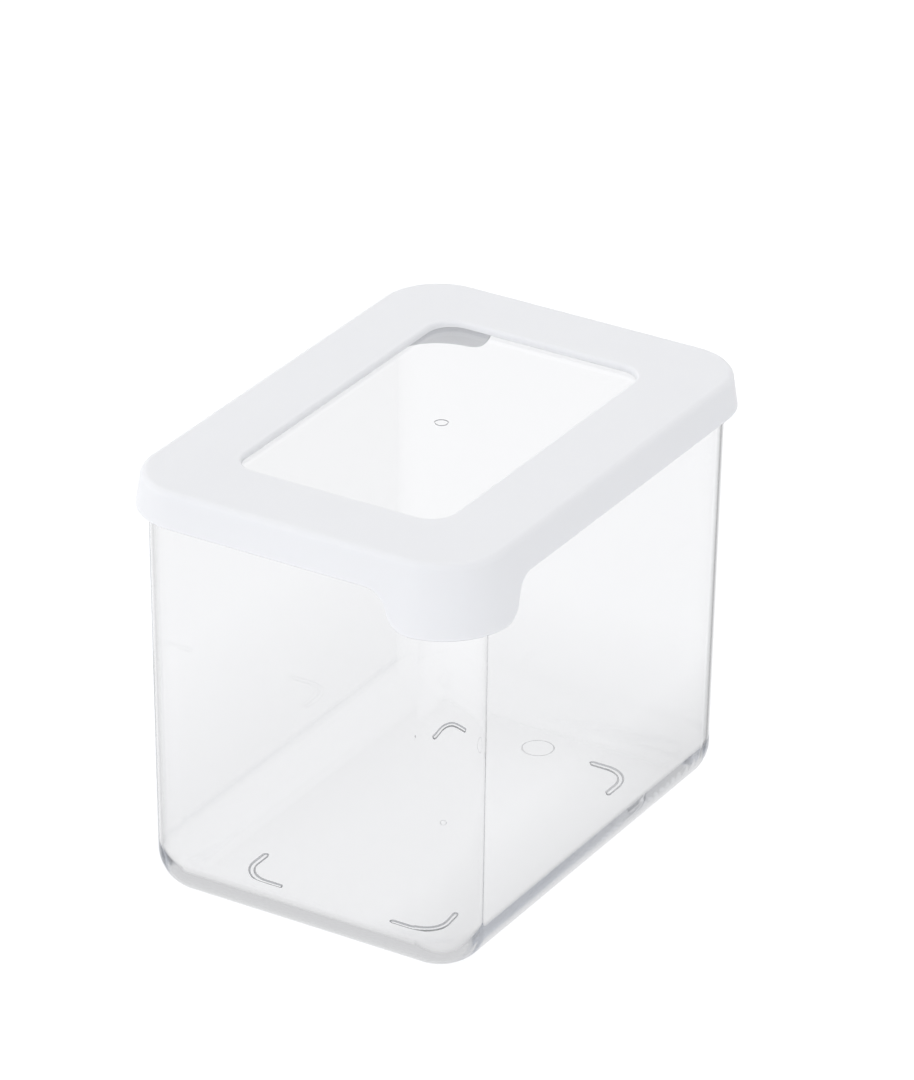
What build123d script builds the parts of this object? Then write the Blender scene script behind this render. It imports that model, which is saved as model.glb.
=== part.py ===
from build123d import *
import os
from math import atan2, degrees, hypot, radians, tan

# Food storage container: a clear tub under a white lift-off lid with a clear window.
# X runs across the short side, Y along the long side, and Z is up.
# The origin lies on the surface the container stands on, under the middle of the base.

# Tub, its width and length taken flat across the base as if its edge were sharp
tub_width = 123.1
tub_length = 177.3
tub_height = 151.4
tub_corner_radius = 17.0
draft = 0.69
wall = 2.0
base_thickness = 2.8
base_edge_radius = 14.0
rim_edge_radius = 0.5

# Collar round the outside of the tub, just under its rim
collar_drop = 5.0
collar_height = 2.0
collar_reach = 1.1

# Four angled feet under the base, which drop into the window recess of a box below
foot_height = 1.0
foot_width = 2.0
foot_bend_radius = 9.3
foot_leg = 15.0
foot_edge_radius = 0.4
stack_clearance_x = 1.4
stack_clearance_y = 0.9

# Round mark that the moulding gate leaves under the base and on the window
base_gate_diameter = 3.7
window_gate_diameter = 5.0
gate_line_width = 0.5
gate_depth = 0.2

# Lid frame: a top band, a flared skirt and a plug that goes into the tub
lid_seat_gap = 0.1
band_thickness = 1.7
crown = 0.5
skirt_overhang = 4.62
skirt_height = 12.5
skirt_flare = 1.8
skirt_wall = 1.6
top_edge_radius = 2.0
plug_depth = 7.0
plug_wall = 1.6
plug_clearance = 0.25
seal_rib_height = 1.0
seal_rib_reach = 0.15
seal_rib_drop = 4.0

# Pull tabs at two opposite corners of the skirt: how far they hang down, how far from the
# skirt's square corner their sides end, how much wider they are at the skirt, how round the
# bends of their S-shaped sides are, up to 1, and how far the cut runs on past the bends
tab_drop = 12.6
tab_tip = 27.6
tab_side_run = 5.0
tab_roundness = 0.9
tab_cut_margin = 1.0

# Window opening in the band, and the clear panel bonded under the band
window_width = 79.0
window_length = 131.2
window_corner_radius = 9.0
window_edge_radius = 1.3
panel_thickness = 1.8
panel_overlap = 2.5
panel_edge_gap = 0.15
panel_rib_width = 1.2

# Edges whose heights differ by less than this lie at one height
height_tolerance = 0.01


def growth(height):
    """How much wider the drafted tub is at a height above its base."""
    return 2 * height * tan(radians(draft))


def rounded_outline(width, length, radius, grow):
    """A rounded rectangle moved outwards by half of grow on every side."""
    RectangleRounded(width + grow, length + grow, radius + grow / 2)


def tub_outline(height, outwards=0):
    """The tub's outline at a height above its base, moved outwards on every side."""
    grow = growth(height)
    rounded_outline(tub_width + grow, tub_length + grow, tub_corner_radius, 2 * outwards)


# Heights from the surface the container stands on
base_z = foot_height
floor_z = base_z + base_thickness
rim_z = base_z + tub_height
collar_z = rim_z - collar_drop
band_z = rim_z + lid_seat_gap
top_z = band_z + band_thickness
skirt_z = top_z - skirt_height
plug_z = band_z - plug_depth

# Lid outline at the skirt's lower edge
lid_grow = growth(tub_height) + 2 * skirt_overhang
lid_width = tub_width + lid_grow
lid_length = tub_length + lid_grow
lid_corner_radius = tub_corner_radius + lid_grow / 2

# Sides of the pull tabs, which go on with the skirt's flare
flare_angle = degrees(atan2(skirt_flare, skirt_height))
tab_flare = tab_drop * skirt_flare / skirt_height
tab_side_slope = atan2(tab_drop, tab_side_run)
tab_bend = tab_roundness * hypot(tab_drop, tab_side_run) / 2
tab_side_radius = tab_bend / tan(tab_side_slope / 2)
tab_reach = tab_tip + tab_side_run + tab_bend + tab_cut_margin

# Space inside the tub
with BuildPart() as cavity:
    with BuildSketch(Plane.XY.offset(floor_z)):
        tub_outline(base_thickness, -wall)
    with BuildSketch(Plane.XY.offset(rim_z)):
        tub_outline(tub_height, -wall)
    loft(ruled=True)
    fillet(cavity.edges().group_by(Axis.Z)[0], base_edge_radius - wall)

# Tub
with BuildPart() as tub:
    with BuildSketch(Plane.XY.offset(base_z)):
        tub_outline(0)
    with BuildSketch(Plane.XY.offset(rim_z)):
        tub_outline(tub_height)
    loft(ruled=True)
    fillet(tub.edges().group_by(Axis.Z)[0], base_edge_radius)
    with BuildSketch(Plane.XY.offset(collar_z)):
        tub_outline(tub_height - collar_drop, collar_reach)
    extrude(amount=collar_height)
    add(cavity.part, mode=Mode.SUBTRACT)
    fillet(tub.edges().group_by(Axis.Z)[-1], rim_edge_radius)

    # feet
    foot_x = window_width / 2 - stack_clearance_x - foot_width / 2
    foot_y = window_length / 2 - stack_clearance_y - foot_width / 2
    with BuildSketch(Plane.XY):
        with BuildLine():
            FilletPolyline(
                (foot_x - foot_leg, foot_y),
                (foot_x, foot_y),
                (foot_x, foot_y - foot_leg),
                radius=foot_bend_radius,
            )
        trace(line_width=foot_width)
        mirror(about=Plane.YZ)
        mirror(about=Plane.XZ)
    extrude(amount=foot_height)
    fillet(tub.edges().group_by(Axis.Z)[0], foot_edge_radius)

    # gate mark under the base
    with BuildSketch(Plane.XY.offset(base_z)):
        Circle(base_gate_diameter / 2)
        Circle(base_gate_diameter / 2 - gate_line_width, mode=Mode.SUBTRACT)
    extrude(amount=gate_depth, mode=Mode.SUBTRACT)
tub.part.label = "tub"

# Pull tab at the +X, -Y corner: the skirt's flared wall carried down between S-shaped sides
with BuildPart() as pull_tab:
    with BuildSketch(Plane.XY.offset(skirt_z - tab_drop)):
        rounded_outline(lid_width, lid_length, lid_corner_radius, 2 * tab_flare)
    extrude(amount=tab_drop, taper=flare_angle)
    with BuildSketch(Plane.XY.offset(skirt_z - tab_drop)):
        rounded_outline(lid_width, lid_length, lid_corner_radius, 2 * tab_flare - 2 * skirt_wall)
    extrude(amount=tab_drop, taper=flare_angle, mode=Mode.SUBTRACT)
    for along_skirt, across_skirt in (((-1, 0, 0), (0, 1, 0)), ((0, 1, 0), (1, 0, 0))):
        corner = (lid_width / 2, -lid_length / 2, skirt_z)
        with BuildSketch(Plane(origin=corner, x_dir=along_skirt, z_dir=across_skirt)):
            with BuildLine():
                tab_side = FilletPolyline(
                    (tab_reach, 0),
                    (tab_tip + tab_side_run, 0),
                    (tab_tip, -tab_drop),
                    (-tab_drop, -tab_drop),
                    radius=tab_side_radius,
                )
                Polyline(tab_side @ 1, (-tab_drop, 0), tab_side @ 0)
            make_face()
        extrude(amount=tab_reach, both=True, mode=Mode.INTERSECT)

# Lid frame
with BuildPart() as lid_frame:
    # skirt and band, hollow from below
    with BuildSketch(Plane.XY.offset(skirt_z)):
        RectangleRounded(lid_width, lid_length, lid_corner_radius)
    extrude(amount=skirt_height, taper=flare_angle)
    with BuildSketch(Plane.XY.offset(skirt_z)):
        rounded_outline(lid_width, lid_length, lid_corner_radius, -2 * skirt_wall)
    extrude(amount=skirt_height - band_thickness, taper=flare_angle, mode=Mode.SUBTRACT)

    # crown of the band, from the top edge up to the window
    with BuildSketch(Plane.XY.offset(top_z)):
        rounded_outline(lid_width, lid_length, lid_corner_radius, -2 * skirt_flare)
    with BuildSketch(Plane.XY.offset(top_z + crown)):
        RectangleRounded(window_width, window_length, window_corner_radius)
    loft(ruled=True)
    top_edges = lid_frame.edges().filter_by_position(Axis.Z, top_z - height_tolerance, top_z + height_tolerance)
    fillet(top_edges, top_edge_radius)

    # window opening
    with BuildSketch(Plane.XY.offset(band_z)):
        RectangleRounded(window_width, window_length, window_corner_radius)
    extrude(amount=band_thickness + crown, mode=Mode.SUBTRACT)
    fillet(lid_frame.edges().group_by(Axis.Z)[-1], window_edge_radius)

    # rib that locates the panel
    panel_grow = 2 * panel_overlap + 2 * panel_edge_gap
    with BuildSketch(Plane.XY.offset(band_z - panel_thickness)):
        rounded_outline(window_width, window_length, window_corner_radius, panel_grow + 2 * panel_rib_width)
        offset(amount=-panel_rib_width, mode=Mode.SUBTRACT)
    extrude(amount=panel_thickness)

    # plug that goes into the tub, with its sealing rib
    plug_inset = wall + plug_clearance
    with BuildSketch(Plane.XY.offset(plug_z)):
        tub_outline(tub_height - plug_depth, -plug_inset)
        offset(amount=-plug_wall, mode=Mode.SUBTRACT)
    extrude(amount=plug_depth)
    with BuildSketch(Plane.XY.offset(band_z - seal_rib_drop)):
        tub_outline(tub_height - plug_depth, seal_rib_reach - plug_inset)
        offset(amount=-seal_rib_reach - plug_wall / 2, mode=Mode.SUBTRACT)
    extrude(amount=seal_rib_height)

    # pull tabs
    add(pull_tab.part)
    add(pull_tab.part.rotate(Axis.Z, 180))
lid_frame.part.label = "lid_frame"

# Clear panel of the window
with BuildPart() as lid_window:
    with BuildSketch(Plane.XY.offset(band_z - panel_thickness)):
        rounded_outline(window_width, window_length, window_corner_radius, 2 * panel_overlap)
    extrude(amount=panel_thickness)
    with BuildSketch(Plane.XY.offset(band_z)):
        Circle(window_gate_diameter / 2)
        Circle(window_gate_diameter / 2 - gate_line_width, mode=Mode.SUBTRACT)
    extrude(amount=-gate_depth, mode=Mode.SUBTRACT)
lid_window.part.label = "lid_window"

os.makedirs("parts", exist_ok=True)
export_step(tub.part, "parts/tub.step")
export_step(lid_frame.part, "parts/lid_frame.step")
export_step(lid_window.part, "parts/lid_window.step")
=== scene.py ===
from math import atan2, cos, hypot, pi, radians, sin, sqrt, tan

import bmesh
import bpy
from mathutils import Matrix, Vector


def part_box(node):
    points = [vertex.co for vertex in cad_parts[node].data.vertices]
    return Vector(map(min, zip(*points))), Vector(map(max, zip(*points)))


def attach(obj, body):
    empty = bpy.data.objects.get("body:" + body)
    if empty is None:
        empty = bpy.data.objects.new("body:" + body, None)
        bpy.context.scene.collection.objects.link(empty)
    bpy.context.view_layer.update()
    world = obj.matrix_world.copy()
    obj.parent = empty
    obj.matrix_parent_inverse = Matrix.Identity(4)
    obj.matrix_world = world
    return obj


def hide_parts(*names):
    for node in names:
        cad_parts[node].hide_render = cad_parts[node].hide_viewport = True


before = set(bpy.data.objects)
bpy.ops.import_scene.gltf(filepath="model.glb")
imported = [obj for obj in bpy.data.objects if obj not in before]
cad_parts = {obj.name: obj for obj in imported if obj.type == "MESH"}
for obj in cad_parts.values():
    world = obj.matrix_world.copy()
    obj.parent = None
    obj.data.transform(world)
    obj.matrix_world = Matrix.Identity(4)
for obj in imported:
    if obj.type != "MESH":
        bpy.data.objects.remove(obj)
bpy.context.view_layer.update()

MM = 0.001

# Tub, in millimetres, as in the CAD model
TUB_WIDTH = 123.1
TUB_LENGTH = 177.3
TUB_CORNER = 17.0
DRAFT = radians(0.69)
WALL = 2.0
BASE_THICKNESS = 2.8
BASE_EDGE = 14.0
BASE_Z = 1.0
FLOOR_Z = BASE_Z + BASE_THICKNESS
RIM_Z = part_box("tub")[1].z / MM
RIM_EDGE = 0.5
COLLAR_DROP = 5.0
COLLAR_HEIGHT = 2.0
COLLAR_REACH = 1.1
COLLAR_ROOT = 0.3
COLLAR_EDGE = 0.4

# How far inside the tub's outline the flat faces of the base begin
BASE_FLAT = 15.5

# Inside edge of the base, which is higher than wide, and the height where its section joins the
# wall's
INNER_EDGE_RISE = 14.5
INNER_EDGE_JOIN = 60.0

# The wall is thinner round the upright corners, so that inside it meets the long sides at a small
# angle, in a narrow crease
PINCH = radians(3.1)
PINCH_EDGE = 0.05

# Feet under the base, placed by their centre line, with a flat strip along their lower face
FOOT_X = 37.1
FOOT_Y = 63.7
FOOT_BEND = 9.3
FOOT_LEG = 15.0
FOOT_HALF_WIDTH = 1.0
FOOT_HALF_FLAT = 0.15
FOOT_DRAFT = 0.05
FOOT_EDGE = 0.6
FOOT_ROOT = 0.25

# Ring grooves that the mould leaves: its gate's under the base and on the window, and a wider one
# of an ejector under the base
BASE_GATE = {"centre": (0, 0), "radius": 1.6, "half_width": 0.25, "depth": 0.15}
EJECTOR_MARK = {"centre": (1, 62.5), "radius": 5.5, "half_width": 0.3, "depth": 0.05}
WINDOW_GATE = {"centre": (0, 0), "radius": 2.2, "half_width": 0.35, "depth": 0.15}
GROOVE_LEAN = radians(40)

# Lid frame
LID_WIDTH = 135.98
LID_LENGTH = 190.18
LID_CORNER = 23.5
BAND_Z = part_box("lid_window")[1].z / MM
BAND_THICKNESS = 1.7
TOP_Z = BAND_Z + BAND_THICKNESS
TOP_EDGE = 2.4
SKIRT_HEIGHT = 12.5
SKIRT_Z = TOP_Z - SKIRT_HEIGHT
SKIRT_FLARE = 1.8
SKIRT_WALL = 1.6
SKIRT_ROOT = 0.5
SKIRT_EDGE = 0.45
PLUG_DEPTH = 7.0
PLUG_WALL = 1.6
PLUG_CLEARANCE = 0.25
PLUG_EDGE = 0.5
PLUG_INNER_ROOT = 0.4
PLUG_OUTER_ROOT = 0.3

# Pull tab: how far it hangs down, how far from the skirt's square corner its sides end, how much
# wider it is at the skirt, how round the bends of its sides are, and how far above the skirt's edge
# its rows of points start
TAB_DROP = 12.6
TAB_TIP = 27.6
TAB_SIDE_RUN = 5.0
TAB_ROUNDNESS = 0.9
TAB_BLEND = 3.0
BLEND_Z = SKIRT_Z + TAB_BLEND

# Window, and the rib that locates its panel under the band
WINDOW_WIDTH = 79.0
WINDOW_LENGTH = 131.2
WINDOW_CORNER = 9.0
WINDOW_EDGE = 1.3
WINDOW_LOWER_EDGE = 0.15
PANEL_THICKNESS = 1.8
PANEL_OVERLAP = 2.5
PANEL_EDGE = 0.25
PANEL_FLAT = 6.0
PANEL_GLUE = 0.03
RIB_GAP = 0.15
RIB_WIDTH = 1.2
RIB_ROOT = 0.1
RIB_EDGE = 0.3

# The band's crown, and how far beside its rounded edges it is a plain slope
CROWN = 0.5
CROWN_OUTER_SLOPE = 2.5
CROWN_INNER_SLOPE = 2.0
BAND_WIDTH = (LID_WIDTH - WINDOW_WIDTH) / 2 - SKIRT_FLARE

# Flat strips under the band: inside the skirt, on both sides of the plug and beside the rib
SKIRT_STRIP = 1.2
PLUG_INNER_STRIP = 1.5
PLUG_OUTER_STRIP = 0.8
RIB_STRIP = 1.0

# Steps of round corners, and rows of points on the pull tabs and on the band
CORNER_STEPS = 22
BASE_EDGE_STEPS = 28
FOOT_BEND_STEPS = 14
FOOT_END_STEPS = 10
CIRCLE_STEPS = 48
TAB_ROWS = 12
BAND_ROWS = 6

# Points of the straight sides: near their ends the tub's have one for the crease, and the lid's
# have many for the pull tabs
TUB_SIDES = {
    "ends": [PINCH_EDGE / (side - 2 * TUB_CORNER) for side in (TUB_WIDTH, TUB_LENGTH)],
    "end_steps": 1,
    "mid_steps": 1,
}
LID_SIDES = {"ends": (0.19, 0.12), "end_steps": 28, "mid_steps": 12}

# Clear plastic: absorption, refraction, polish and waves, and the share of the light that passes one
# face of it on the way to a matt surface
CLEAR_TINT = (0.68, 0.74, 0.86, 1)
CLEAR_DENSITY = 3.0
CLEAR_IOR = 1.5
CLEAR_POLISH = {"scale": 90, "detail": 2.0, "low": 0.0, "high": 0.03}
CLEAR_WAVES = {"scale": 30, "detail": 1.0, "distance": 0.00002}
FACE_PASS = 0.95

# Painted shade on the sides of the feet, a dark outline standing in for the shade they get by
# refraction, which fades out just beside their lower face and the base
FOOT_PAINTED_SHADE = (0.2, 0.21, 0.23, 1)
SHADE_FADE = 0.03
SHADE_END = 0.005

# White plastic: its colour varies between two, and painted shade makes it darker where the surface
# faces down
WHITE_COLOURS = ((0.808, 0.815, 0.838, 1), (0.828, 0.835, 0.858, 1))
WHITE_CLOUDS = {"scale": 22, "detail": 3.0}
WHITE_POLISH = {"scale": 160, "detail": 4.0, "low": 0.42, "high": 0.52}
WHITE_GRAIN = {"scale": 3000, "detail": 2.0, "distance": 0.000004}
WHITE_SCATTER = 0.0008
DOWN_SHADE = (0.3, 0.31, 0.33, 1)
DOWN_START = 0.2
DOWN_END = 0.8

# Noise lies mostly between these two values
NOISE_LOW = 0.3
NOISE_HIGH = 0.7

# Camera fitted to the photograph: its angles, the point that it turns round and its distance from
# it, how far it is then moved to its right and up, its lens and sensor, and its reach in metres
CAMERA_AZIMUTH = radians(30.955)
CAMERA_ELEVATION = radians(26.992)
CAMERA_ROLL = radians(0.611)
CAMERA_DISTANCE = 2288.0
CAMERA_AIM = Vector((0.0, 0.0, 71.2))
CAMERA_SIDE = 5.863
CAMERA_RISE = 34.021
CAMERA_LENS = 229.3
CAMERA_SENSOR = 36
CAMERA_CLIP = 20

# Floor, in metres, and its colours
FLOOR_HALF_SIZE = 3.0
FLOOR_COLOUR = (0.08, 0.08, 0.08, 1)
FLOOR_ROUGHNESS = 0.9
FLOOR_TINT = (0.98, 0.985, 1.0, 1)

# Light on matt surfaces: from the room, which is brighter at the front left, and from the floor,
# which is brighter in front of the tub
ROOM_LIGHT = 1.0
ROOM_LEAN = (-0.19, -0.2, 0.0)
FLOOR_LIGHT = 0.66
FRONT_LIGHT = 0.9
FRONT_START = 0.1
FRONT_END = -0.15

# The room as it is seen, and the floor as it is seen through the clear plastic, by metres from the
# tub: under its middle, at its edge and away from it, and less to the right
ROOM_GLOW = 1.01
MIDDLE_GLOW = 0.882
EDGE_GLOW = 0.865
FAR_GLOW = 0.98
MIDDLE_REACH = 0.04
GLOW_REACH = 0.085
RIGHT_SHADE = 0.78
RIGHT_START = 0.015
RIGHT_END = 0.062

# The floor where nothing lies in front of it, at the tub's edge and away from it
BARE_EDGE = 0.97
BARE_FAR = 1.03

# What is left of the light after a reflection inside a wall: of the room's, and of the floor's for
# light that crossed few faces, next to the tub and at the least, or many
DIM_ROOM = 0.5
DIM_FEW = 0.56
DIM_LEAST = 0.22
DIM_MANY = 0.47
DIM_START = 0.003
DIM_END = 0.02

# Dark sides of the room, for that same light: the ways to a side and ahead, half the width that
# stays open, the slant of the line that ahead is measured from, the share aside at which a side is
# fully dark, and what it leaves
SIDE_WAY = (0.857, 0.514, 0.0)
AHEAD_WAY = (-0.514, 0.857, 0.0)
SIDE_EDGE = 0.092
SIDE_SKEW = 0.4185
SIDE_DARK = 0.65
DIM_SIDE = 0.08

# Light that runs along inside the clear base meets its faces many times
ALL_BOUNCES = 128
GLOSSY_BOUNCES = 120
TRANSMISSION_BOUNCES = 24


def growth(height):
    """How far the drafted wall leans out at a height above the base."""
    return height * tan(DRAFT)


def flare(height):
    """Offset of the face of the skirt and its tabs at a height."""
    return SKIRT_FLARE * (SKIRT_Z - height) / SKIRT_HEIGHT


def pinch(share):
    """How much thinner the wall is at a share of a corner's arc, and the slope of that change.

    The share goes from -1 at a short side, which the arc leaves smoothly, to 1 at a long side.
    """
    half_arc = (TUB_CORNER - WALL) * pi / 4
    most = PINCH * half_arc / 2
    if share > 0:
        return most * (1 - share**2), -PINCH * share
    rise = 1 + share
    return most * rise**2 * (3 - 2 * rise), 3 * PINCH * rise * (1 - rise)


def rounded_section(corners):
    """Points (offset, height, direction of the surface normal) along a line with rounded corners.

    An end is (offset, height), and a corner between the ends is (offset, height, radius, steps).
    The solid lies to the left of the way along the line, so the normal points to the right.
    """
    places = [Vector(corner[:2]) for corner in corners]
    ways = [(after - before).normalized() for before, after in zip(places, places[1:])]
    section = [(*places[0], atan2(-ways[0].x, ways[0].y))]
    for place, way_in, way_out, (_, _, radius, steps) in zip(places[1:], ways, ways[1:], corners[1:-1]):
        turn = atan2(way_in.x * way_out.y - way_in.y * way_out.x, way_in.dot(way_out))
        side = 1 if turn > 0 else -1
        start = place - radius * tan(abs(turn) / 2) * way_in
        centre = start + side * radius * Vector((-way_in.y, way_in.x))
        first = atan2(-way_in.x, way_in.y)
        for step in range(steps + 1):
            angle = first + turn * step / steps
            point = centre + side * radius * Vector((cos(angle), sin(angle)))
            section.append((*point, angle))
    section.append((*places[-1], atan2(-ways[-1].x, ways[-1].y)))
    return section


class Loop:
    """Points of a closed line with directions to its outside, along which they can be offset."""

    def __init__(self, points, normals):
        self.points = points
        self.normals = normals

    def at(self, index, offset):
        return self.points[index] + offset * self.normals[index]


class Outline(Loop):
    """A rounded rectangle about the origin.

    At each end of a straight side, end_steps points divide a share of it, which ends gives for the
    sides along X and along Y. The rest of the side is divided by mid_steps.
    """

    def __init__(self, width, length, radius, ends=(0.0, 0.0), end_steps=0, mid_steps=0):
        super().__init__([], [])
        # for a point on a corner's arc: its share of it, as pinch takes it, and the arc's sense, 1
        # from a short side to a long one or -1 back
        self.arc_shares = []
        corners = ((1, -1), (1, 1), (-1, 1), (-1, -1))
        centres = [Vector((x * (width / 2 - radius), y * (length / 2 - radius))) for x, y in corners]
        for index, centre in enumerate(centres):
            sense = 1 - 2 * (index % 2)
            for step in range(CORNER_STEPS + 1):
                angle = radians(90 * (index - 1) + 90 * step / CORNER_STEPS)
                normal = Vector((cos(angle), sin(angle)))
                self.points.append(centre + radius * normal)
                self.normals.append(normal)
                self.arc_shares.append(((2 * step / CORNER_STEPS - 1) * sense, sense))
            far = centres[(index + 1) % 4]
            for share in self.side_shares(ends[1 - index % 2], end_steps, mid_steps):
                self.points.append(centre.lerp(far, share) + radius * normal)
                self.normals.append(normal)
                self.arc_shares.append(None)

    @staticmethod
    def side_shares(end, end_steps, mid_steps):
        """Where the points of a straight side lie, as shares of it."""
        if not end_steps:
            return []
        near = [end * step / end_steps for step in range(1, end_steps + 1)]
        middle = [end + (1 - 2 * end) * step / mid_steps for step in range(1, mid_steps)]
        return near + middle + [1 - share for share in reversed(near)]


class Circle(Loop):
    def __init__(self, centre, radius):
        angles = [2 * pi * step / CIRCLE_STEPS for step in range(CIRCLE_STEPS)]
        normals = [Vector((cos(angle), sin(angle))) for angle in angles]
        super().__init__([Vector(centre) + radius * normal for normal in normals], normals)


class FootOutline(Loop):
    """An L with a bend and round ends, as an offset of the centre line of a foot."""

    def __init__(self, side_x, side_y):
        bend = Vector((FOOT_X - FOOT_BEND, FOOT_Y - FOOT_BEND))
        line = [(Vector((FOOT_X - FOOT_LEG, FOOT_Y)), pi / 2)]
        for step in range(FOOT_BEND_STEPS + 1):
            angle = pi / 2 * (1 - step / FOOT_BEND_STEPS)
            line.append((bend + FOOT_BEND * Vector((cos(angle), sin(angle))), angle))
        line.append((Vector((FOOT_X, FOOT_Y - FOOT_LEG)), 0.0))
        turns = [pi * step / FOOT_END_STEPS for step in range(1, FOOT_END_STEPS)]
        loop = list(line)
        loop += [(line[-1][0], -turn) for turn in turns]
        loop += [(place, angle + pi) for place, angle in reversed(line)]
        loop += [(line[0][0], 3 * pi / 2 - turn) for turn in turns]
        if side_x * side_y > 0:
            loop.reverse()
        super().__init__(
            [Vector((side_x * place.x, side_y * place.y)) for place, _ in loop],
            [Vector((side_x * cos(angle), side_y * sin(angle))) for _, angle in loop],
        )


class Shell:
    """A mesh under construction, with an exact normal for each vertex."""

    def __init__(self, name):
        self.name = name
        self.mesh = bmesh.new()
        self.normals = []

    def vertex(self, point, normal=(0, 0, 1)):
        self.normals.append(Vector(normal).normalized())
        return self.mesh.verts.new(Vector(point) * MM)

    def ring(self, loop, offset, height, angle):
        """One row of vertices round a loop; angle is the elevation of the normal."""
        row = []
        for index, normal in enumerate(loop.normals):
            place = loop.at(index, offset)
            facing = (cos(angle) * normal.x, cos(angle) * normal.y, sin(angle))
            row.append(self.vertex((place.x, place.y, height), facing))
        return row

    def tub_ring(self, offset, height, angle, sides, pinched=False):
        """A row round the tub, whose corners keep their radius while the walls lean out.

        A pinched row lies further out round the corners, where the wall is thinner.
        """
        grow = growth(height - BASE_Z)
        outline = Outline(TUB_WIDTH + 2 * grow, TUB_LENGTH + 2 * grow, TUB_CORNER, **sides)
        row = []
        for index, normal in enumerate(outline.normals):
            lean = tan(DRAFT) * (abs(normal.x) + abs(normal.y) - 1)
            away = offset - grow
            turned = normal.copy()
            if pinched and outline.arc_shares[index]:
                share, sense = outline.arc_shares[index]
                thinning, slope = pinch(share)
                away += thinning
                turned.rotate(Matrix.Rotation(-slope * sense, 2))
            place = outline.at(index, away)
            facing = (cos(angle) * turned.x, cos(angle) * turned.y, sin(angle) - cos(angle) * lean)
            row.append(self.vertex((place.x, place.y, height), facing))
        return row

    def join(self, lower, upper):
        """Quads between two rows of the same count."""
        count = len(lower)
        for index in range(count):
            after = (index + 1) % count
            self.mesh.faces.new((lower[index], lower[after], upper[after], upper[index]))

    def loft(self, rows, closed=False):
        for lower, upper in zip(rows, rows[1:] + (rows[:1] if closed else [])):
            self.join(lower, upper)

    def fill(self, row):
        self.mesh.faces.new(row)

    def fill_between(self, loops, up):
        """A flat face with holes: loops are rows of vertices, the first one outside."""
        edges = []
        for loop in loops:
            for index, vertex in enumerate(loop):
                ends = (vertex, loop[(index + 1) % len(loop)])
                edges.append(self.mesh.edges.get(ends) or self.mesh.edges.new(ends))
        made = bmesh.ops.triangle_fill(self.mesh, use_beauty=True, edges=edges, normal=(0, 0, up))
        for face in made["geom"]:
            if isinstance(face, bmesh.types.BMFace) and face.normal.z * up < 0:
                face.normal_flip()

    def groove(self, height, up, centre, radius, half_width, depth):
        """A ring groove in a flat face that looks up, 1, or down, -1. Returns its outer row."""
        circle = Circle(centre, radius)
        rows = []
        for share, fall, tilt in ((1, 0, 0), (0.5, 0.5, 1), (0, 1, 0), (-0.5, 0.5, -1), (-1, 0, 0)):
            angle = up * (pi / 2 + tilt * GROOVE_LEAN)
            rows.append(self.ring(circle, share * half_width, height - up * fall * depth, angle))
        if up > 0:
            self.loft(rows)
            self.fill(rows[-1])
        else:
            self.loft(rows[::-1])
            self.fill(rows[-1][::-1])
        return rows[0]

    def finish(self, body, nodes, material, exact=True):
        data = bpy.data.meshes.new(self.name)
        self.mesh.verts.index_update()
        self.mesh.to_mesh(data)
        self.mesh.free()
        data.polygons.foreach_set("use_smooth", [True] * len(data.polygons))
        if exact:
            data.normals_split_custom_set_from_vertices(self.normals)
        data.materials.append(material)
        piece = bpy.data.objects.new(self.name, data)
        bpy.context.collection.objects.link(piece)
        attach(piece, body)
        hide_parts(*nodes)
        return piece


def tub_section():
    """The tub's section, from under the base up the outside to the rim, and down to the floor."""
    collar = RIM_Z - COLLAR_DROP
    collar_top = collar + COLLAR_HEIGHT
    collar_face = growth(collar - BASE_Z) + COLLAR_REACH
    rim = growth(RIM_Z - BASE_Z)
    inner_face = growth(INNER_EDGE_JOIN - BASE_Z) - WALL
    section = rounded_section((
        (-BASE_FLAT, BASE_Z),
        (0, BASE_Z, BASE_EDGE, BASE_EDGE_STEPS),
        (growth(collar - BASE_Z), collar, COLLAR_ROOT, 3),
        (collar_face, collar, COLLAR_EDGE, 4),
        (collar_face, collar_top, COLLAR_EDGE, 4),
        (growth(collar_top - BASE_Z), collar_top, COLLAR_ROOT, 3),
        (rim, RIM_Z, RIM_EDGE, 5),
        (rim - WALL, RIM_Z, RIM_EDGE, 5),
        (inner_face, INNER_EDGE_JOIN),
    ))

    # the edge inside is a round one, stretched upwards from the floor
    stretch = INNER_EDGE_RISE / (BASE_EDGE - WALL)
    inner_edge = rounded_section((
        (inner_face, FLOOR_Z + (INNER_EDGE_JOIN - FLOOR_Z) / stretch),
        (growth(BASE_THICKNESS) - WALL, FLOOR_Z, BASE_EDGE - WALL, BASE_EDGE_STEPS),
        (-BASE_FLAT, FLOOR_Z),
    ))
    for offset, height, angle in inner_edge[1:]:
        stretched = FLOOR_Z + (height - FLOOR_Z) * stretch
        section.append((offset, stretched, atan2(sin(angle), stretch * cos(angle))))
    return section


def foot(shell, side_x, side_y):
    """One foot. Returns its upper row, for the face of the base round it."""
    outline = FootOutline(side_x, side_y)
    section = rounded_section((
        (FOOT_HALF_FLAT, 0),
        (FOOT_HALF_WIDTH - FOOT_DRAFT, 0, FOOT_EDGE, 5),
        (FOOT_HALF_WIDTH, BASE_Z, FOOT_ROOT, 3),
        (2 * FOOT_HALF_WIDTH, BASE_Z),
    ))
    rows = [shell.ring(outline, *point) for point in section[:-1]]
    shell.loft(rows)
    shell.fill(rows[0][::-1])
    return rows[-1]


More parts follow.
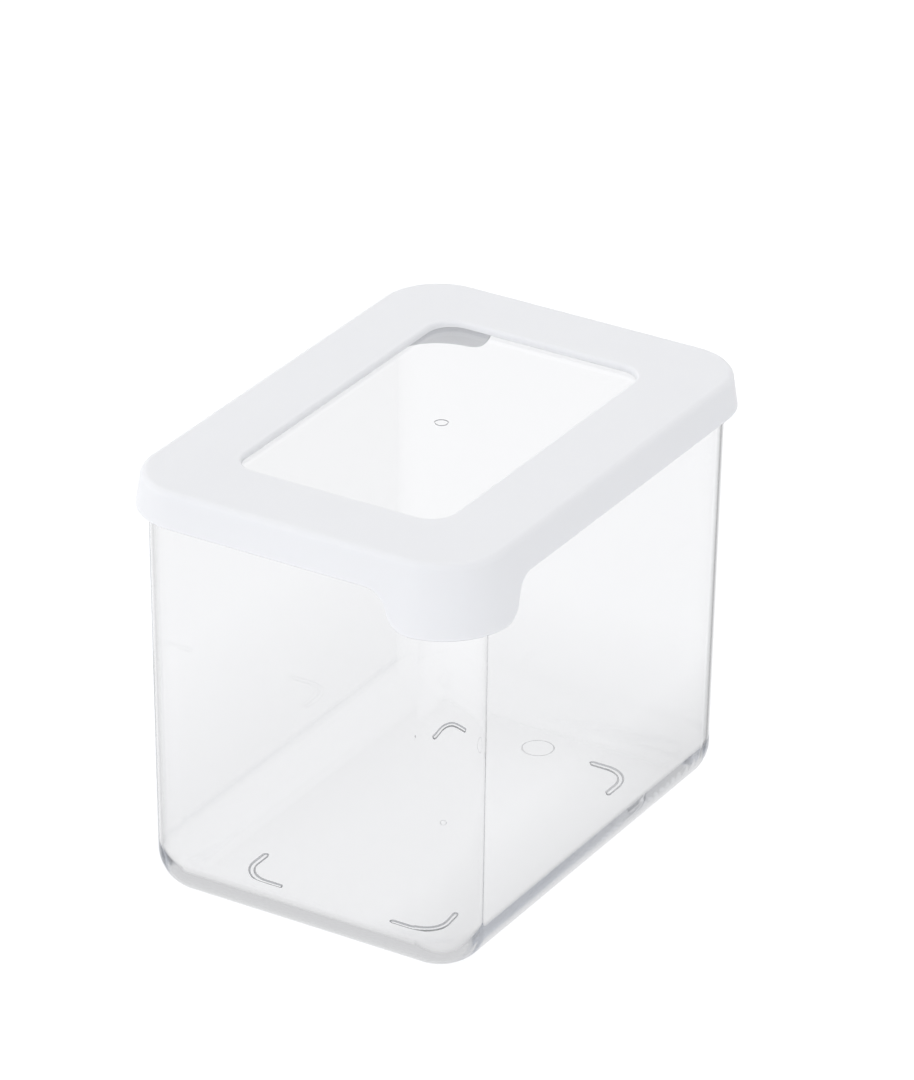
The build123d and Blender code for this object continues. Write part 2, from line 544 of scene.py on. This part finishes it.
def clear_tub(material):
    shell = Shell("clear_tub")
    rows = []
    for offset, height, angle in tub_section():
        inside = cos(angle) < 0 and height < RIM_Z
        rows.append(shell.tub_ring(offset, height, angle, TUB_SIDES, inside))
    shell.loft(rows)
    shell.fill(rows[-1])

    # underside with its feet and marks
    loops = [rows[0]]
    loops += [foot(shell, side_x, side_y) for side_x, side_y in ((1, 1), (-1, 1), (-1, -1), (1, -1))]
    loops += [shell.groove(BASE_Z, -1, **mark) for mark in (BASE_GATE, EJECTOR_MARK)]
    shell.fill_between(loops, -1)
    return shell.finish("tub", ["tub"], material)


def tab_depth(place):
    """How far the skirt's lower edge hangs down at a point of the lid's outline."""
    across, along = LID_WIDTH / 2, LID_LENGTH / 2
    distance = min(across - place.x + along + place.y, across + place.x + along - place.y)
    slope = atan2(TAB_DROP, TAB_SIDE_RUN)
    reach = TAB_ROUNDNESS * hypot(TAB_DROP, TAB_SIDE_RUN) / 2
    radius = reach / tan(slope / 2)
    root = TAB_TIP + TAB_SIDE_RUN
    if distance >= root + reach:
        return 0.0
    if distance >= root - reach * cos(slope):
        return radius - sqrt(radius**2 - (root + reach - distance) ** 2)
    if distance >= TAB_TIP + reach * cos(slope):
        return (root - distance) * tan(slope)
    if distance >= TAB_TIP - reach:
        return TAB_DROP - radius + sqrt(radius**2 - (distance - TAB_TIP + reach) ** 2)
    return TAB_DROP


def skirt_rows(shell, skirt):
    """Rows from under the band down inside the skirt, round its lower edge and up to its tabs' top."""
    depths = [tab_depth(place) for place in skirt.points]

    def hanging_row(inwards, share):
        """A row of the skirt's wall between the blend height and the lower edge."""
        row = []
        for index, depth in enumerate(depths):
            height = BLEND_Z + (SKIRT_Z + SKIRT_EDGE - depth - BLEND_Z) * share
            place = skirt.at(index, flare(height) - inwards)
            row.append(shell.vertex((place.x, place.y, height)))
        return row

    def edge_row(offset, height):
        row = []
        for index, depth in enumerate(depths):
            place = skirt.at(index, offset + flare(SKIRT_Z - depth))
            row.append(shell.vertex((place.x, place.y, height - depth)))
        return row

    inside = rounded_section((
        (-SKIRT_FLARE - SKIRT_WALL - SKIRT_STRIP, BAND_Z),
        (flare(BAND_Z) - SKIRT_WALL, BAND_Z, SKIRT_ROOT, 3),
        (flare(BLEND_Z) - SKIRT_WALL, BLEND_Z),
    ))
    edge = rounded_section((
        (-SKIRT_WALL, SKIRT_Z + 2 * SKIRT_EDGE),
        (-SKIRT_WALL, SKIRT_Z, SKIRT_EDGE, 4),
        (0, SKIRT_Z, SKIRT_EDGE, 4),
        (0, SKIRT_Z + 2 * SKIRT_EDGE),
    ))
    shares = [step / TAB_ROWS for step in range(1, TAB_ROWS)]
    rows = [shell.ring(skirt, *point) for point in inside]
    rows += [hanging_row(SKIRT_WALL, share) for share in shares]
    rows += [edge_row(offset, height) for offset, height, _ in edge[1:-1]]
    return rows + [hanging_row(0, share) for share in reversed(shares)]


def band_rows(shell, skirt, window):
    """Rows up the skirt, over the band's crown to the window, and down round the rib."""
    crown_start = TOP_EDGE + CROWN_OUTER_SLOPE
    crown_end = WINDOW_EDGE + CROWN_INNER_SLOPE
    top_edge = rounded_section((
        (flare(BLEND_Z), BLEND_Z),
        (-SKIRT_FLARE, TOP_Z, TOP_EDGE, 9),
        (-SKIRT_FLARE - crown_start, TOP_Z + CROWN * crown_start / BAND_WIDTH),
    ))
    opening = rounded_section((
        (crown_end, TOP_Z + CROWN * (1 - crown_end / BAND_WIDTH)),
        (0, TOP_Z + CROWN, WINDOW_EDGE, 8),
        (0, BAND_Z, WINDOW_LOWER_EDGE, 2),
        (PANEL_OVERLAP + RIB_GAP, BAND_Z, RIB_ROOT, 2),
        (PANEL_OVERLAP + RIB_GAP, BAND_Z - PANEL_THICKNESS, RIB_EDGE, 3),
        (PANEL_OVERLAP + RIB_GAP + RIB_WIDTH, BAND_Z - PANEL_THICKNESS, RIB_EDGE, 3),
        (PANEL_OVERLAP + RIB_GAP + RIB_WIDTH, BAND_Z, RIB_EDGE, 3),
        (PANEL_OVERLAP + RIB_GAP + RIB_WIDTH + RIB_STRIP, BAND_Z),
    ))
    rows = [shell.ring(skirt, *point) for point in top_edge]
    last_offset, last_z, _ = top_edge[-1]
    first_offset, first_z, _ = opening[0]
    for step in range(1, BAND_ROWS):
        share = step / BAND_ROWS
        height = last_z + (first_z - last_z) * share
        row = []
        for index in range(len(skirt.points)):
            place = skirt.at(index, last_offset).lerp(window.at(index, first_offset), share)
            row.append(shell.vertex((place.x, place.y, height)))
        rows.append(row)
    return rows + [shell.ring(window, *point) for point in opening]


def plug_rows(shell):
    """Rows down inside the plug and up its outside, which goes into the tub."""
    bottom = BAND_Z - PLUG_DEPTH
    face = growth(RIM_Z - PLUG_DEPTH - BASE_Z) - WALL - PLUG_CLEARANCE
    section = rounded_section((
        (face - PLUG_WALL - PLUG_INNER_STRIP, BAND_Z),
        (face - PLUG_WALL, BAND_Z, PLUG_INNER_ROOT, 3),
        (face - PLUG_WALL, bottom, PLUG_EDGE, 3),
        (face, bottom, PLUG_EDGE, 3),
        (face, BAND_Z, PLUG_OUTER_ROOT, 3),
        (face + PLUG_OUTER_STRIP, BAND_Z),
    ))
    return [shell.tub_ring(*point, LID_SIDES) for point in section]


def lid_frame(material):
    shell = Shell("white_lid_frame")
    skirt = Outline(LID_WIDTH, LID_LENGTH, LID_CORNER, **LID_SIDES)
    window = Outline(WINDOW_WIDTH, WINDOW_LENGTH, WINDOW_CORNER, **LID_SIDES)
    rows = skirt_rows(shell, skirt) + band_rows(shell, skirt, window) + plug_rows(shell)
    shell.loft(rows, closed=True)
    piece = shell.finish("lid", ["lid_frame"], material, exact=False)
    piece.modifiers.new("even_normals", "WEIGHTED_NORMAL")
    return piece


def lid_window(material):
    shell = Shell("clear_lid_window")
    outline = Outline(WINDOW_WIDTH, WINDOW_LENGTH, WINDOW_CORNER)
    top = BAND_Z - PANEL_GLUE
    bottom = BAND_Z - PANEL_THICKNESS
    section = rounded_section((
        (-PANEL_FLAT, bottom),
        (PANEL_OVERLAP, bottom, PANEL_EDGE, 3),
        (PANEL_OVERLAP, top, PANEL_EDGE, 3),
        (-PANEL_FLAT, top),
    ))
    rows = [shell.ring(outline, *point) for point in section]
    shell.loft(rows)
    shell.fill(rows[0][::-1])
    shell.fill_between([rows[-1], shell.groove(top, 1, **WINDOW_GATE)], 1)
    return shell.finish("lid", ["lid_window"], material)


class Graph:
    """The nodes of the world or of a material. What they take is a number, a colour or a socket."""

    def __init__(self, owner):
        owner.use_nodes = True
        self.nodes, self.links = owner.node_tree.nodes, owner.node_tree.links

    def put(self, value, socket):
        """Set an input, or link it to the socket of another node."""
        if isinstance(value, bpy.types.NodeSocket):
            self.links.new(value, socket)
        else:
            socket.default_value = value

    def calc(self, operation, first, second=0.0):
        node = self.nodes.new("ShaderNodeMath")
        node.operation = operation
        self.put(first, node.inputs[0])
        self.put(second, node.inputs[1])
        return node.outputs["Value"]

    def dot(self, source, way):
        node = self.nodes.new("ShaderNodeVectorMath")
        node.operation = "DOT_PRODUCT"
        self.put(source, node.inputs[0])
        self.put(way, node.inputs[1])
        return node.outputs["Value"]

    def ramp(self, source, start, end, low, high):
        """A value that goes from low to high while the source goes from start to end."""
        node = self.nodes.new("ShaderNodeMapRange")
        self.put(source, node.inputs["Value"])
        self.put(start, node.inputs["From Min"])
        self.put(end, node.inputs["From Max"])
        self.put(low, node.inputs["To Min"])
        self.put(high, node.inputs["To Max"])
        return node.outputs["Result"]

    def mix(self, share, first, second):
        """A colour between two colours."""
        node = self.nodes.new("ShaderNodeMix")
        node.data_type = "RGBA"
        self.put(share, node.inputs["Factor"])
        self.put(first, node.inputs["A"])
        self.put(second, node.inputs["B"])
        return node.outputs["Result"]

    def light(self, name):
        """What the renderer knows of the light's way, such as its Transmission Depth."""
        return self.nodes.new("ShaderNodeLightPath").outputs[name]


class Surface(Graph):
    """A new material, with its shader and its places on the object."""

    def __init__(self, name):
        self.material = bpy.data.materials.new(name)
        super().__init__(self.material)
        self.shader = self.nodes["Principled BSDF"]
        self.output = self.nodes["Material Output"]
        self.place = self.nodes.new("ShaderNodeTexCoord").outputs["Object"]

    def set(self, name, value):
        self.put(value, self.shader.inputs[name])

    def noise(self, scale, detail):
        node = self.nodes.new("ShaderNodeTexNoise")
        self.put(scale, node.inputs["Scale"])
        self.put(detail, node.inputs["Detail"])
        self.put(self.place, node.inputs["Vector"])
        return node.outputs["Fac"]

    def varied(self, scale, detail, low, high):
        """A value that noise varies between low and high."""
        return self.ramp(self.noise(scale, detail), NOISE_LOW, NOISE_HIGH, low, high)

    def bump(self, scale, detail, distance):
        node = self.nodes.new("ShaderNodeBump")
        self.put(distance, node.inputs["Distance"])
        self.put(self.noise(scale, detail), node.inputs["Height"])
        self.set("Normal", node.outputs["Normal"])

    def let_through(self):
        """Let the light that falls on matt surfaces pass this one."""
        veil = self.nodes.new("ShaderNodeBsdfTransparent")
        self.put((FACE_PASS, FACE_PASS, FACE_PASS, 1), veil.inputs["Color"])
        choice = self.nodes.new("ShaderNodeMixShader")
        matt = self.calc("MAXIMUM", self.light("Is Shadow Ray"), self.light("Is Diffuse Ray"))
        self.put(matt, choice.inputs["Fac"])
        self.put(self.shader.outputs["BSDF"], choice.inputs[1])
        self.put(veil.outputs["BSDF"], choice.inputs[2])
        self.put(choice.outputs["Shader"], self.output.inputs["Surface"])


def clear_plastic(name, shade_height=0.0):
    """Clear plastic, with painted shade on its sides up to a height, as the feet have."""
    surface = Surface(name)
    surface.set("Base Color", (1, 1, 1, 1))
    if shade_height:
        # painted shade: the base colour is darkened on the sides of the feet, up to a height
        half = shade_height / 2
        from_middle = surface.calc("SUBTRACT", surface.dot(surface.place, (0, 0, 1)), half * MM)
        distance = surface.calc("ABSOLUTE", from_middle)
        unshaded = surface.ramp(distance, (half - SHADE_FADE) * MM, (half - SHADE_END) * MM, 0.0, 1.0)
        surface.set("Base Color", surface.mix(unshaded, FOOT_PAINTED_SHADE, (1, 1, 1, 1)))
    surface.set("Transmission Weight", 1.0)
    surface.set("IOR", CLEAR_IOR)
    surface.set("Roughness", surface.varied(**CLEAR_POLISH))
    surface.bump(**CLEAR_WAVES)
    absorb = surface.nodes.new("ShaderNodeVolumeAbsorption")
    surface.put(CLEAR_TINT, absorb.inputs["Color"])
    surface.put(CLEAR_DENSITY, absorb.inputs["Density"])
    surface.put(absorb.outputs["Volume"], surface.output.inputs["Volume"])
    surface.let_through()
    return surface.material


def white_plastic():
    surface = Surface("white_plastic")
    colour = surface.mix(surface.noise(**WHITE_CLOUDS), *WHITE_COLOURS)
    normal = surface.nodes.new("ShaderNodeNewGeometry").outputs["Normal"]
    # painted shade: the base colour darkens where the surface faces down
    down = surface.ramp(surface.dot(normal, (0, 0, -1)), DOWN_START, DOWN_END, 0.0, 1.0)
    surface.set("Base Color", surface.mix(down, colour, DOWN_SHADE))
    surface.set("Subsurface Weight", 1.0)
    surface.set("Subsurface Radius", (1.0, 1.0, 1.0))
    surface.set("Subsurface Scale", WHITE_SCATTER)
    surface.set("Roughness", surface.varied(**WHITE_POLISH))
    surface.bump(**WHITE_GRAIN)
    return surface.material


def faces_crossed(graph):
    """How many faces light crossed that was reflected inside a wall, or else zero."""
    reflected = graph.calc("MINIMUM", graph.light("Glossy Depth"), 1.0)
    return graph.calc("MULTIPLY", reflected, graph.light("Transmission Depth"))


def glow(graph, matt, straight, dimmed):
    """Strength of a light on matt surfaces, seen straight, and seen reflected inside a wall."""
    seen = graph.ramp(faces_crossed(graph), 0.0, 1.0, straight, dimmed)
    return graph.ramp(graph.light("Is Diffuse Ray"), 0.0, 1.0, seen, matt)


def open_side(graph, place):
    """What the dark sides of the room leave of the floor's light, by how far aside a place lies."""
    side = graph.dot(place, SIDE_WAY)
    aside = graph.calc("SUBTRACT", graph.calc("ABSOLUTE", side), SIDE_EDGE)
    aside = graph.calc("MAXIMUM", aside, 0.0)
    slant = graph.calc("MULTIPLY", side, SIDE_SKEW)
    ahead = graph.calc("ABSOLUTE", graph.calc("SUBTRACT", graph.dot(place, AHEAD_WAY), slant))
    whole = graph.calc("MAXIMUM", graph.calc("ADD", ahead, aside), MM)
    share = graph.calc("DIVIDE", graph.calc("DIVIDE", aside, whole), SIDE_DARK)
    return graph.ramp(graph.calc("POWER", share, 2.0), 0.0, 1.0, 1.0, DIM_SIDE)


def floor_glow(graph, place):
    """Strength of the floor's own light, which is less under the tub and close to it."""
    across = graph.dot(place, (1, 0, 0))
    along = graph.dot(place, (0, 1, 0))
    beside = graph.calc("SUBTRACT", graph.calc("ABSOLUTE", across), TUB_WIDTH / 2 * MM)
    beyond = graph.calc("SUBTRACT", graph.calc("ABSOLUTE", along), TUB_LENGTH / 2 * MM)
    clear = graph.calc("MAXIMUM", beside, beyond)

    # seen straight, bare or through the plastic
    bare = graph.ramp(clear, 0.0, GLOW_REACH, BARE_EDGE, BARE_FAR)
    inner = graph.ramp(clear, -MIDDLE_REACH, 0.0, MIDDLE_GLOW, EDGE_GLOW)
    outer = graph.ramp(clear, 0.0, GLOW_REACH, 0.0, FAR_GLOW - EDGE_GLOW)
    right = graph.ramp(across, RIGHT_START, RIGHT_END, 1.0, RIGHT_SHADE)
    through = graph.calc("MULTIPLY", graph.calc("ADD", inner, outer), right)
    straight = graph.ramp(graph.light("Transmission Depth"), 0.0, 1.0, bare, through)

    # seen reflected inside a wall, by light that crossed up to two faces or more
    near = graph.ramp(clear, DIM_START, DIM_END, DIM_FEW, 1.0)
    few = graph.calc("MAXIMUM", graph.calc("MULTIPLY", near, open_side(graph, place)), DIM_LEAST)
    dimmed = graph.ramp(faces_crossed(graph), 2.0, 3.0, few, DIM_MANY)

    matt = graph.ramp(along, FRONT_END, FRONT_START, FRONT_LIGHT, FLOOR_LIGHT)
    return glow(graph, matt, straight, dimmed)


def stage():
    half = FLOOR_HALF_SIZE
    corners = [(-half, -half, 0), (half, -half, 0), (half, half, 0), (-half, half, 0)]
    data = bpy.data.meshes.new("floor")
    data.from_pydata(corners, [], [(0, 1, 2, 3)])
    floor = bpy.data.objects.new("floor", data)
    bpy.context.collection.objects.link(floor)
    surface = Surface("floor_light_table")
    surface.set("Base Color", FLOOR_COLOUR)
    surface.set("Roughness", FLOOR_ROUGHNESS)
    surface.set("Specular IOR Level", 0.0)
    surface.set("Emission Color", FLOOR_TINT)
    surface.set("Emission Strength", floor_glow(surface, surface.place))
    data.materials.append(surface.material)


def studio_light():
    world = bpy.data.worlds.new("studio")
    bpy.context.scene.world = world
    room = Graph(world)
    way = room.nodes.new("ShaderNodeTexCoord").outputs["Generated"]
    matt = room.calc("ADD", room.dot(way, ROOM_LEAN), ROOM_LIGHT)
    background = room.nodes["Background"]
    room.put(glow(room, matt, ROOM_GLOW, ROOM_GLOW * DIM_ROOM), background.inputs["Strength"])
    room.put((1, 1, 1, 1), background.inputs["Color"])


def camera():
    back = Vector((
        sin(CAMERA_AZIMUTH) * cos(CAMERA_ELEVATION),
        -cos(CAMERA_AZIMUTH) * cos(CAMERA_ELEVATION),
        sin(CAMERA_ELEVATION),
    ))
    level = Vector((cos(CAMERA_AZIMUTH), sin(CAMERA_AZIMUTH), 0.0))
    upright = back.cross(level)
    right = cos(CAMERA_ROLL) * level + sin(CAMERA_ROLL) * upright
    up = cos(CAMERA_ROLL) * upright - sin(CAMERA_ROLL) * level
    place = CAMERA_AIM + CAMERA_DISTANCE * back + CAMERA_SIDE * right + CAMERA_RISE * up
    turn = Matrix((right, up, back)).transposed().to_4x4()
    data = bpy.data.cameras.new("camera")
    data.sensor_width = CAMERA_SENSOR
    data.lens = CAMERA_LENS
    data.clip_end = CAMERA_CLIP
    view = bpy.data.objects.new("camera", data)
    view.matrix_world = Matrix.Translation(place * MM) @ turn
    bpy.context.collection.objects.link(view)
    bpy.context.scene.camera = view


camera()
stage()
studio_light()
bpy.context.scene.view_settings.view_transform = "Standard"
bpy.context.scene.cycles.max_bounces = ALL_BOUNCES
bpy.context.scene.cycles.glossy_bounces = GLOSSY_BOUNCES
bpy.context.scene.cycles.transmission_bounces = TRANSMISSION_BOUNCES
clear_tub(clear_plastic("clear_plastic", BASE_Z))
lid_frame(white_plastic())
lid_window(clear_plastic("window_plastic"))
